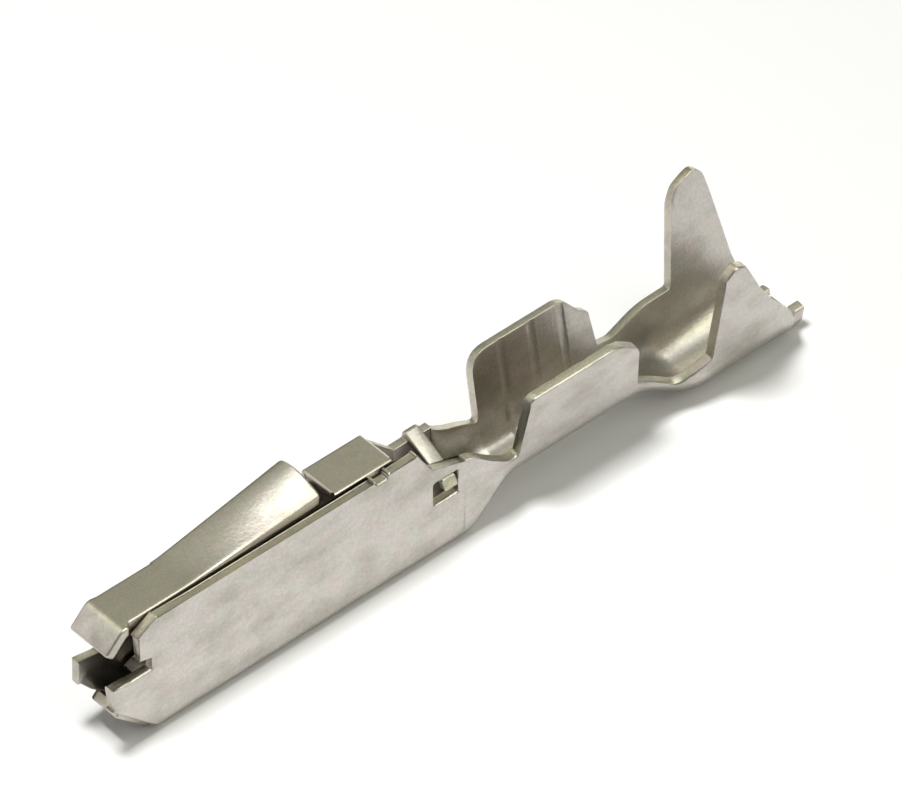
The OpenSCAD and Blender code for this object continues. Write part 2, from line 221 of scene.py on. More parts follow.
def sheet_marks():
    """Node group of the marks in the sheet, for both its faces and its cut edges: patches,
    crystals of the plating and rolling lines that run along X."""
    made = bpy.data.node_groups.get("sheet_marks")
    if made:
        return made
    tree = bpy.data.node_groups.new("sheet_marks", "ShaderNodeTree")
    for name, default in (("Patch size", 0.0005), ("Speck size", 0.00005), ("Grain width", 0.00002)):
        socket = tree.interface.new_socket(name, in_out="INPUT", socket_type="NodeSocketFloat")
        socket.default_value = default
    for name in ("Patches", "Tint", "Specks", "Height"):
        tree.interface.new_socket(name, in_out="OUTPUT", socket_type="NodeSocketFloat")
    source, sink = add(tree, "NodeGroupInput"), add(tree, "NodeGroupOutput")
    coord = add(tree, "ShaderNodeTexCoord")
    link = tree.links.new

    def noise(size, stretch, shift, detail, low, high):
        """Noise of the given size, spread over 0 to 1 between its low and high values."""
        place = add(tree, "ShaderNodeMapping", Location=shift, Scale=stretch)
        per_metre = add(tree, "ShaderNodeMath", operation="DIVIDE")
        per_metre.inputs[0].default_value = 1.0
        texture = add(tree, "ShaderNodeTexNoise", Detail=detail, Roughness=0.6)
        spread = add(tree, "ShaderNodeMapRange", From_Min=low, From_Max=high)
        link(coord.outputs["Object"], place.inputs["Vector"])
        link(place.outputs[0], texture.inputs["Vector"])
        link(source.outputs[size], per_metre.inputs[1])
        link(per_metre.outputs[0], texture.inputs["Scale"])
        link(texture.outputs["Fac"], spread.inputs["Value"])
        return spread.outputs[0]

    patches = noise("Patch size", (0.6, 1, 1), (0, 0, 0), 4, 0.42, 0.66)
    tint = noise("Patch size", (1.6, 2, 2), (0.013, 0, 0.007), 2, 0.36, 0.64)
    specks = noise("Speck size", (1, 1, 1), (0, 0.003, 0), 3, 0.34, 0.66)
    lines = noise("Grain width", (0.04, 1, 1), (0, 0, 0.005), 2, 0.3, 0.7)
    height = add(tree, "ShaderNodeMath", operation="MULTIPLY_ADD")
    height.inputs[1].default_value = 0.35
    link(lines, height.inputs[0])
    link(specks, height.inputs[2])
    for name, value in (("Patches", patches), ("Tint", tint), ("Specks", specks),
                        ("Height", height.outputs[0])):
        link(value, sink.inputs[name])
    return tree


def sheet_material(name, finish, colour, dull, roughness, relief):
    """Metal with the marks of the sheet: its colour drifts to the dull one in patches."""
    material = bpy.data.materials.new(name)
    tree = nodes_of(material)
    link = tree.links.new
    out = add(tree, "ShaderNodeOutputMaterial")
    shader = add(tree, "ShaderNodeBsdfPrincipled", Metallic=1.0)
    marks = add(tree, "ShaderNodeGroup", node_tree=sheet_marks())
    marks.inputs["Patch size"].default_value = finish.patch
    marks.inputs["Speck size"].default_value = finish.speck
    marks.inputs["Grain width"].default_value = finish.grain

    def blend(mode, share, first, second):
        node = add(tree, "ShaderNodeMix", data_type="RGBA", blend_type=mode)
        for socket, value in zip((node.inputs["Factor"], node.inputs[6], node.inputs[7]),
                                 (share, first, second)):
            if isinstance(value, bpy.types.NodeSocket):
                link(value, socket)
            else:
                socket.default_value = value
        return node.outputs[2]

    base = blend("MIX", marks.outputs["Patches"], (*colour, 1), (*dull, 1))
    warm = blend("MIX", marks.outputs["Tint"], (1.0, 0.965, 0.96, 1), (0.95, 0.985, 0.92, 1))
    base = blend("MULTIPLY", 1.0, base, warm)
    fine = blend("MIX", marks.outputs["Specks"], (0.86, 0.86, 0.86, 1), (1, 1, 1, 1))
    base = blend("MULTIPLY", 1.0, base, fine)
    rough = add(tree, "ShaderNodeMapRange", To_Min=roughness - 0.05, To_Max=roughness + 0.08)
    bump = add(tree, "ShaderNodeBump", Strength=relief, Distance=0.000004)
    link(marks.outputs["Patches"], rough.inputs["Value"])
    link(marks.outputs["Height"], bump.inputs["Height"])
    link(base, shader.inputs["Base Color"])
    link(rough.outputs[0], shader.inputs["Roughness"])
    link(bump.outputs[0], shader.inputs["Normal"])
    link(shader.outputs["BSDF"], out.inputs["Surface"])
    return material


def terminal_materials(context):
    """The plating and the sheared edge, made on first use."""
    finish = context.scene.terminal_finish
    if "tin_plating" not in bpy.data.materials:
        sheet_material("tin_plating", finish, finish.tin, finish.tarnish, finish.roughness, 0.35)
        sheet_material("sheared_edge", finish, finish.bare, finish.tarnish,
                       finish.edge_roughness, 0.7)
    return bpy.data.materials["tin_plating"], bpy.data.materials["sheared_edge"]


def filleted(points, radius, steps=4, closed=True):
    """The outline with its corners rounded. A point may bring its own radius as a third value."""
    out = []
    count = len(points)
    for i, point in enumerate(points):
        here = Vector(point[:2])
        if not closed and i in (0, count - 1):
            out.append(tuple(here))
            continue
        before, after = Vector(points[i - 1][:2]) - here, Vector(points[(i + 1) % count][:2]) - here
        turn = math.pi - before.angle(after)
        own = point[2] if len(point) > 2 else radius
        if turn < math.radians(12) or own == 0:
            out.append(tuple(here))
            continue
        reach = min(own * math.tan(turn / 2), 0.45 * before.length, 0.45 * after.length)
        start, end = here + before.normalized() * reach, here + after.normalized() * reach
        for k in range(steps + 1):
            u = k / steps
            out.append(tuple((1 - u) ** 2 * start + 2 * u * (1 - u) * here + u ** 2 * end))
    return out


def mitres(points):
    """For each point of a closed outline, the step that moves both of its edges outwards by 1."""
    area = sum(points[i - 1][0] * p[1] - p[0] * points[i - 1][1] for i, p in enumerate(points))
    out = []
    for i, p in enumerate(points):
        q, r = Vector(points[i - 1]), Vector(points[(i + 1) % len(points)])
        first, second = (Vector(p) - q).normalized(), (r - Vector(p)).normalized()
        normals = [Vector((d.y, -d.x)) * (1 if area > 0 else -1) for d in (first, second)]
        out.append((normals[0] + normals[1]) / max(0.3, 1 + normals[0].dot(normals[1])))
    return out


def blank(outline, holes, inset, u_cuts, v_cuts):
    """A flat mesh of the outline, set in from its edges and cut along lines of u and of v."""
    flat = bmesh.new()
    edges = []
    for k, loop in enumerate([outline] + holes):
        sign = -1 if k == 0 else 1
        verts = [flat.verts.new((p[0] + m.x * inset * sign, p[1] + m.y * inset * sign, 0))
                 for p, m in zip(loop, mitres(loop))]
        edges += [flat.edges.new((verts[i - 1], verts[i])) for i in range(len(verts))]
    bmesh.ops.triangle_fill(flat, use_beauty=True, use_dissolve=False, edges=edges)
    for normal, cuts in ((Vector((1, 0, 0)), u_cuts), (Vector((0, 1, 0)), v_cuts)):
        for cut in cuts:
            bmesh.ops.bisect_plane(
                flat, geom=flat.verts[:] + flat.edges[:] + flat.faces[:], dist=1e-5,
                plane_co=normal * cut, plane_no=normal)
    return flat


def fold_up(flat, place, sheet, roll, burr, plain=math.inf, steps=3):
    """Gives a flat mesh its thickness and its folds: place(u, v, depth) says where a point goes.

    The cut edges are rounded by roll on the outer face and by burr on the inner one, apart
    from those beyond u = plain, where another piece goes on.
    """
    flat.verts.index_update()
    outwards, ends = {}, {}
    rims = [e for e in flat.edges if len(e.link_faces) == 1]
    for rim in rims:
        along = (rim.verts[1].co - rim.verts[0].co).normalized()
        normal = Vector((along.y, -along.x, 0))
        if normal.dot(rim.link_faces[0].calc_center_median() - rim.verts[0].co) > 0:
            normal = -normal
        for vert in rim.verts:
            if min(v.co.x for v in rim.verts) > plain:
                ends[vert.index] = Vector((1, 0, 0))
            else:
                outwards.setdefault(vert.index, []).append(normal)
    turns = [math.pi / 2 * k / steps for k in range(steps + 1)]
    rows = [(roll * math.sin(a), roll * (1 - math.cos(a))) for a in turns]
    rows += [(roll - burr + burr * math.sin(a), sheet - burr * (1 - math.cos(a)))
             for a in reversed(turns)]
    solid = bmesh.new()
    columns = {}
    for vert in flat.verts:
        grow_to = Vector((0, 0, 0))
        if vert.index in outwards:
            normals = outwards[vert.index]
            grow_to = sum(normals, Vector()) / len(normals)
            grow_to /= max(0.3, grow_to.length_squared)
        on_rim = vert.index in outwards or vert.index in ends
        base = vert.co + ends.get(vert.index, Vector()) * roll
        columns[vert.index] = [
            solid.verts.new(place(base.x + grow_to.x * grow, base.y + grow_to.y * grow, depth))
            for grow, depth in (rows if on_rim else (rows[0], rows[-1]))]
    for face in flat.faces:
        order = [v.index for v in face.verts]
        solid.faces.new([columns[i][0] for i in order])
        solid.faces.new([columns[i][-1] for i in reversed(order)])
    for rim in rims:
        a, b = (columns[v.index] for v in rim.verts)
        for k in range(len(rows) - 1):
            strip = solid.faces.new([a[k], b[k], b[k + 1], a[k + 1]])
            strip.material_index = 1 if k == steps else 0
    flat.free()
    bmesh.ops.remove_doubles(solid, verts=solid.verts, dist=1e-6)
    bmesh.ops.recalc_face_normals(solid, faces=solid.faces)
    return solid


def finish_piece(context, name, mesh, sharp=35, weighted=True):
    """Puts a finished mesh in the scene as a piece of the terminal."""
    for material in terminal_materials(context):
        mesh.materials.append(material)
    mesh.shade_smooth()
    mesh.set_sharp_from_angle(angle=math.radians(sharp))
    piece = bpy.data.objects.new(name, mesh)
    context.scene.collection.objects.link(piece)
    if weighted:
        smooth = piece.modifiers.new("weighted", "WEIGHTED_NORMAL")
        smooth.keep_sharp = True
    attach(piece, "root")
    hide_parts("terminal")
    return piece


def piece_from(context, name, solid, **shading):
    """A piece from a bmesh in millimetres that counts X from the side tips."""
    for vert in solid.verts:
        vert.co = vert.co * MM + Vector((NOSE_X, 0, 0))
    mesh = bpy.data.meshes.new(name)
    solid.to_mesh(mesh)
    solid.free()
    return finish_piece(context, name, mesh, **shading)


def steps_between(start, end, count):
    return [start + (end - start) * k / count for k in range(count + 1)]


class BoxFolds:
    """Where a point of the box's blank goes. The blank's u runs along the terminal, and its v
    around the section, from the middle of the bottom up the far wall and over the top."""

    def __init__(self, size):
        self.size = size
        self.flat = size.half_width - size.fold
        self.wall = self.flat + size.fold * math.pi / 2
        self.far_top = self.wall + size.height - size.fold - size.tight_fold
        self.top = self.far_top + size.tight_fold * math.pi / 2
        self.seam = self.across(size.seam_y)
        self.strap_turn = math.radians(117)
        self.strap = self.wall + size.strap_z - size.fold
        self.strap_leg = self.strap + size.tight_fold * self.strap_turn

    def across(self, y):
        """The blank's v at a place across the top."""
        return self.top + self.size.half_width - self.size.tight_fold - y

    def v_at(self, z):
        """The blank's v at a height on a wall."""
        fold = self.size.fold
        if z < fold:
            return self.flat + fold * math.acos(1 - z / fold)
        return self.wall + z - fold

    def lance(self, u, y):
        """Rise of the lance above the top at a point, and its slope across."""
        size = self.size
        along = (u - size.lance_from) / (size.lance_to - size.lance_from)
        if not 0 < along < 1.05:
            return 0, 0
        share = along - 0.04 * (1 - math.exp(-along / 0.04))
        wide = size.half_width - size.seam_y
        t = (y - size.seam_y) / wide
        lean = 1.37
        rise = (size.lance_near + (size.lance_far - size.lance_near) * t
                + size.lance_crown * t * (1 - t) * (1 + lean * t))
        slope = (size.lance_far - size.lance_near
                 + size.lance_crown * (1 + (2 * lean - 2) * t - 3 * lean * t * t)) / wide
        return share * rise, share * slope

    def lip(self, u, depth):
        """Place along X and height below the top for the front lip."""
        size = self.size
        bend, radius = 0.48, size.fold - depth
        past = bend - u
        if past <= 0:
            return u, size.height - depth
        turn = min(past / size.fold, math.pi / 4)
        straight = max(0, past - size.fold * math.pi / 4)
        return (bend - radius * math.sin(turn) - straight * math.cos(turn),
                size.height - size.fold + radius * math.cos(turn) - straight * math.sin(turn))

    def tight(self, turn, z, depth):
        """A point of a tight fold that starts upright on the far wall at height z."""
        size = self.size
        radius = max(size.tight_fold - depth, 0)
        corner = max(depth, size.tight_fold)
        return Vector((size.half_width - corner + radius * math.cos(turn),
                       z + size.tight_fold - corner + radius * math.sin(turn)))

    def place(self, u, v, depth):
        size = self.size
        side, v = (1 if v >= 0 else -1), abs(v)
        if v <= self.flat:
            return Vector((u, side * v, depth))
        if v < self.wall:
            turn, radius = (v - self.flat) / size.fold, size.fold - depth
            return Vector((u, side * (self.flat + radius * math.sin(turn)),
                           size.fold - radius * math.cos(turn)))
        if side > 0 and v > self.strap and size.strap_from - 0.1 < u < size.strap_to + 0.1:
            turn = min((v - self.strap) / size.tight_fold, self.strap_turn)
            leg = max(v - self.strap_leg, 0)
            spot = self.tight(turn, size.strap_z, depth)
            return Vector((u, spot.x - leg * math.sin(turn), spot.y + leg * math.cos(turn)))
        if v <= self.far_top or side < 0:
            z = size.fold + v - self.wall
            if side > 0 and v == self.far_top and depth > size.tight_fold:
                z = size.height - depth
            return Vector((u, side * (size.half_width - depth), z))
        y = size.half_width - size.tight_fold - (v - self.top)
        loose = u < 0.575 or size.lance_from < u < size.lance_to + 0.1
        if v < self.top and not loose:
            spot = self.tight((v - self.far_top) / size.tight_fold,
                              size.height - size.tight_fold, depth)
            return Vector((u, spot.x, spot.y))
        x, z = self.lip(u, depth)
        rise, slope = self.lance(u, y)
        # The cut edge beside the seam stays upright.
        slope *= min(max((y - size.seam_y) / 0.15, 0), 1)
        tilt = math.hypot(1, slope)
        return Vector((x, y + depth * slope / tilt, z + rise + depth * (1 - 1 / tilt)))


class TERMINAL_OT_box(bpy.types.Operator):
    """Box with its nose, upper lip, lance and rear plate, folded from one flat blank"""

    bl_idname = "terminal.box"
    bl_label = "Folded box"

    def outline(self, size, folds):
        v = folds.v_at
        chamfer = 1.05
        tip_top, step, slot = 1.57, 0.58, 0.87
        foot = [(chamfer - z, v(z)) for z in steps_between(0, size.fold, 6)]
        nose = [(0, v(chamfer)), (0, v(tip_top), 0.05), (0.43, v(1.49)), (slot, v(1.49), 0.05),
                (slot, v(1.73), 0.05), (step, v(1.81), 0.03)]
        lip_tip = 0.48 - size.fold * math.pi / 4 - size.lip
        edge = folds.across(size.half_width)
        low = v(size.height - size.sheet)
        strap_tip = folds.strap_leg + (
            2 * size.half_width - 0.02 - size.tight_fold * (1 - math.cos(folds.strap_turn))
        ) / math.sin(folds.strap_turn)
        far = foot + nose + [
            (step, low, 0.02), (step, edge, 0), (lip_tip, edge, 0.06),
            (lip_tip, folds.across(-0.42), 0.06), (0.5, folds.across(-0.42), 0.06),
            (0.58, folds.seam, 0.06), (size.lance_to, folds.seam, 0.06),
            (size.lance_to - 0.14, edge, 0.1), (size.lance_from, edge, 0.02),
            (size.lance_from, low, 0.02), (size.plate_from, low, 0.02),
            (size.plate_from, folds.seam, 0.05), (size.plate_to, folds.seam, 0.05),
            (size.plate_to, folds.far_top, 0), (6.88, v(size.far_rear), 0.05),
            (size.strap_from, v(size.far_rear), 0.03), (size.strap_from, strap_tip, 0.05),
            (size.strap_to, strap_tip, 0.05), (size.strap_to, v(size.far_rear), 0.03),
            (size.box_end, v(size.far_rear), 0.02)]
        notch_low = v(size.height - size.notch)
        near = [(size.box_end, v(1.83), 0.02), (6.95, v(2.1), 0.1), (6.65, v(size.height), 0.08),
                (size.notch_to, v(size.height), 0.03), (size.notch_to, notch_low, 0.04),
                (size.notch_from, notch_low, 0.04), (size.notch_from, v(size.height), 0.03),
                (size.brow, v(size.height), 0.06), (step, v(2.36), 0.05)]
        near = near + nose[::-1] + foot[::-1]
        return far + [(p[0], -p[1]) + tuple(p[2:]) for p in near]

    def execute(self, context):
        size = millimetres(context.scene.terminal_sheet)
        folds = BoxFolds(size)
        v = folds.v_at
        window = [(7.0, -v(1.2)), (7.55, -v(1.2)), (7.55, -v(1.7)), (7.0, -v(1.7))]
        bends = [steps_between(folds.flat, folds.wall, 6),
                 steps_between(folds.far_top, folds.top, 6)]
        v_cuts = bends[0] + [-cut for cut in bends[0]] + bends[1] + steps_between(
            folds.strap, folds.strap_leg, 8) + steps_between(
            folds.across(0.46), folds.across(size.seam_y + 0.04), 14)
        u_cuts = (steps_between(0.48 - size.fold * math.pi / 4, 0.48, 5)
                  + steps_between(size.lance_from, size.lance_to - 0.05, 24))
        flat = blank(filleted(self.outline(size, folds), 0.04), [filleted(window, 0.05)],
                     size.roll, u_cuts, v_cuts)
        solid = fold_up(flat, folds.place, size.sheet, size.roll, size.burr,
                        plain=size.box_end - 2 * size.roll)
        piece_from(context, "folded_box", solid)
        return {"FINISHED"}


def ribbon(path, across, sheet, size, place):
    """A strip of sheet that follows a path in a plane, from across[0] to across[1] beside it.

    The path is the strip's outer face, and its thickness lies to the left of it.
    """
    points = [Vector(p) for p in path]
    run = [0.0]
    for first, second in zip(points, points[1:]):
        run.append(run[-1] + (second - first).length)

    def at(u, v, depth):
        k = min(max(bisect.bisect_right(run, u) - 1, 0), len(run) - 2)
        along = points[k + 1] - points[k]
        share = (u - run[k]) / along.length
        ends = []
        for j in (k, k + 1):
            before, after = points[max(j - 1, 0)], points[min(j + 1, len(points) - 1)]
            ends.append((after - before).normalized())
        tangent = ends[0].lerp(ends[1], min(max(share, 0), 1)).normalized()
        spot = points[k] + along * share + Vector((-tangent.y, tangent.x)) * depth
        return place(spot, v)

    outline = filleted([(0, across[0]), (run[-1], across[0]), (run[-1], across[1]),
                        (0, across[1])], 0.04)
    flat = blank(outline, [], size.roll, run[1:-1], [])
    return fold_up(flat, at, sheet, size.roll, size.burr)


def arc(centre, radius, start, end, count=8):
    """Points on an arc in degrees."""
    return [(centre[0] + radius * math.cos(math.radians(a)),
             centre[1] + radius * math.sin(math.radians(a)))
            for a in steps_between(start, end, count)]


class TERMINAL_OT_inside(bpy.types.Operator):
    """Contact leaf and lower lip"""

    bl_idname = "terminal.inside"
    bl_label = "Leaf and lower lip"

    def execute(self, context):
        size = millimetres(context.scene.terminal_sheet)
        self.make_leaf(context, size)
        self.make_lip(context, size)
        return {"FINISHED"}

    def make_leaf(self, context, size):
        thick, peak_h, root, peak, tip = 0.14, 1.25, 6.3, 2.1, 0.95
        low = 0.5 * thick + 0.01

        def height(x):
            if x > peak:
                u = min(max((root - x) / (root - peak), 0), 1)
                return low + (peak_h - 0.5 * thick - low) * u * u * (3 - 2 * u)
            return peak_h - 0.5 * thick - 0.3 * ((peak - x) / (peak - tip)) ** 2

        path = [(x, height(x) - thick / 2) for x in steps_between(tip, root + 0.3, 40)]
        half = size.half_width - size.sheet - 0.06
        solid = ribbon(path, (-half, half), thick, size,
                       lambda spot, y: Vector((spot.x, y, spot.y)))
        piece_from(context, "contact_leaf", solid)

    def make_lip(self, context, size):
        bend = 0.95
        path = [(1.04, 0)] + arc((bend, size.fold), size.fold, 270, 225)
        slope = math.sqrt(0.5) * size.low_lip
        path.append((path[-1][0] - slope, path[-1][1] + slope))
        half = size.half_width - size.sheet - 0.02
        solid = ribbon(path[::-1], (-half, half), size.sheet, size,
                       lambda spot, y: Vector((spot.x, y, spot.y)))
        piece_from(context, "lower_lip", solid)


class Term:
    """A number in a node tree, which plain arithmetic turns into math nodes."""

    def __init__(self, tree, socket):
        self.tree, self.socket = tree, socket

    def math(self, operation, *others):
        node = self.tree.nodes.new("ShaderNodeMath")
        node.operation = operation
        for slot, value in zip(node.inputs, (self, *others)):
            if isinstance(value, Term):
                self.tree.links.new(value.socket, slot)
            else:
                slot.default_value = value
        return Term(self.tree, node.outputs[0])

    def __add__(self, other):
        return self.math("ADD", other)

    def __sub__(self, other):
        return self.math("SUBTRACT", other)

    def __mul__(self, other):
        return self.math("MULTIPLY", other)

    def __truediv__(self, other):
        return self.math("DIVIDE", other)

    def __neg__(self):
        return self.math("MULTIPLY", -1.0)

    def least(self, other):
        return self.math("MINIMUM", other)

    def most(self, other):
        return self.math("MAXIMUM", other)

    def clamp(self):
        return self.most(0.0).least(1.0)

    def ease(self):
        u = self.clamp()
        return u * u * (u * -2.0 + 3.0)

    def to(self, other, share):
        """This value where share is 0, and the other where it is 1."""
        return self + (other - self) * share


BLANK_VALUES = ("station", "top", "side", "bend", "leg", "pull", "deep", "sink")


def strip_tree():
    """Geometry nodes that roll the flat strip behind the box into its channel and barrels."""
    tree = bpy.data.node_groups.new("roll_strip", "GeometryNodeTree")
    tree.interface.new_socket("Geometry", in_out="INPUT", socket_type="NodeSocketGeometry")
    named = {}
    for name in ("Sheet", "Box end", "Box half width", "Box fold", "Wire from", "Wire to",
                 "Wire radius", "Wire lift", "Wire lean", "Insulation from", "Insulation to",
                 "Insulation radius", "Insulation lean", "Tab half width", "Tab run",
                 "Grooves", "Groove depth", "Groove width"):
        named[name] = tree.interface.new_socket(name, in_out="INPUT",
                                                socket_type="NodeSocketFloat")
    named["Material"] = tree.interface.new_socket("Material", in_out="INPUT",
                                                  socket_type="NodeSocketMaterial")
    tree.interface.new_socket("Geometry", in_out="OUTPUT", socket_type="NodeSocketGeometry")
    source = tree.nodes.new("NodeGroupInput")
    sink = tree.nodes.new("NodeGroupOutput")
    size = {name: Term(tree, source.outputs[name]) for name in named}
    point = {}
    for name in BLANK_VALUES:
        node = tree.nodes.new("GeometryNodeInputNamedAttribute")
        node.data_type = "FLOAT"
        node.inputs["Name"].default_value = name
        point[name] = Term(tree, node.outputs["Attribute"])

    x = point["station"]
    to_wire = ((x - size["Box end"]) / (size["Wire from"] - size["Box end"])).ease()
    to_hull = ((x - size["Wire to"]) / (size["Insulation from"] - size["Wire to"])).ease()
    to_tab = ((x - size["Insulation to"]) / size["Tab run"]).ease()

    def stage(box, wire, hull, tab):
        return box.to(wire, to_wire).to(hull, to_hull).to(tab, to_tab)

    nothing = x * 0.0
    half = stage(size["Box half width"], size["Wire radius"], size["Insulation radius"],
                 size["Tab half width"])
    radius = stage(size["Box fold"], size["Wire radius"] * 0.98, size["Insulation radius"] * 0.98,
                   size["Box fold"])
    base = stage(nothing, size["Wire lift"], nothing, nothing)
    lean = stage(nothing, size["Wire lean"], size["Insulation lean"], size["Insulation lean"])

    pitch = (size["Wire to"] - size["Wire from"]) / (size["Grooves"] + 1.0)
    turn = (x - size["Wire from"]) / pitch
    nearest = turn.math("ROUND").most(1.0).least(size["Grooves"])
    away = (turn - nearest).math("ABSOLUTE") * pitch
    groove = size["Groove depth"] * (away * -4.0 / size["Groove width"] + 2.0).clamp()

    depth = point["deep"] * (size["Sheet"] - groove) + point["sink"]
    centre_y, centre_z = half - radius, base + radius
    reach = ((point["top"] - base) / radius - 0.08).clamp() - 1.0
    last = reach.math("ARCSINE").least(-lean)
    leg = ((point["top"] - centre_z - radius * last.math("SINE")) / last.math("COSINE")).most(
        0.03 * MM) * point["leg"] - point["pull"]
    bend = last * point["bend"] + (point["bend"] - 1.0) * (math.pi / 2)
    out = radius - depth
    y = point["side"] * (centre_y + out * bend.math("COSINE") - leg * last.math("SINE"))
    z = centre_z + out * bend.math("SINE") + leg * last.math("COSINE")

    place = tree.nodes.new("ShaderNodeCombineXYZ")
    for slot, value in zip(place.inputs, (x + NOSE_X, y, z)):
        tree.links.new(value.socket, slot)
    move = tree.nodes.new("GeometryNodeSetPosition")
    real = tree.nodes.new("GeometryNodeRealizeInstances")
    paint = tree.nodes.new("GeometryNodeSetMaterial")
    tree.links.new(source.outputs["Geometry"], move.inputs["Geometry"])
    tree.links.new(place.outputs[0], move.inputs["Position"])
    tree.links.new(move.outputs[0], real.inputs[0])
    tree.links.new(real.outputs[0], paint.inputs["Geometry"])
    tree.links.new(source.outputs["Material"], paint.inputs["Material"])
    tree.links.new(paint.outputs[0], sink.inputs[0])
    return tree, {name: socket.identifier for name, socket in named.items()}


# Heights of the strip's two cut edges along X, in millimetres, with a radius at some corners.
NEAR_EDGE = [(7.695, 1.82), (7.9, 1.78, 0.5), (8.6, 1.27, 0.6), (8.85, 1.22, 0.1),
             (8.93, 2.6, 0.14), (10.9, 2.6, 0.6), (11.43, 2.2, 0.3), (11.55, 1.22, 0.1),
             (11.92, 1.0, 0.5), (12.41, 0.66, 0.3), (12.69, 0.83, 0.6), (13.06, 1.0, 0.06),
             (13.1, 2.9, 0.3), (13.3, 3.12, 0.15), (13.55, 3.0, 0.3), (13.98, 2.2, 1.5),
             (14.47, 1.45, 2.0), (14.9, 0.95, 1.0), (15.1, 0.6, 0.2), (15.2, 0.5, 0.2),
             (15.5, 0.5)]
FAR_EDGE = [(7.695, 1.92), (7.9, 1.75, 0.5), (8.17, 1.56, 0.6), (8.4, 1.45, 0.5),
            (8.85, 1.26, 0.1), (8.87, 2.6, 0.42), (10.95, 2.6, 0.4), (11.27, 2.22, 0.2),
            (11.46, 2.1, 0.12), (11.55, 1.36, 0.06), (11.9, 1.27, 0.5), (12.91, 1.27, 0.8),
            (13.5, 1.28, 0.08), (13.7, 2.93, 0.6), (13.84, 3.19, 0.3), (14.07, 3.3, 0.4),
            (14.27, 3.37, 0.3), (14.45, 3.22, 0.4), (14.57, 2.78, 0.8), (14.75, 1.98, 1.5),
            (14.91, 1.25, 1.0), (15.12, 0.6, 0.2), (15.28, 0.3, 0.1), (15.5, 0.3)]


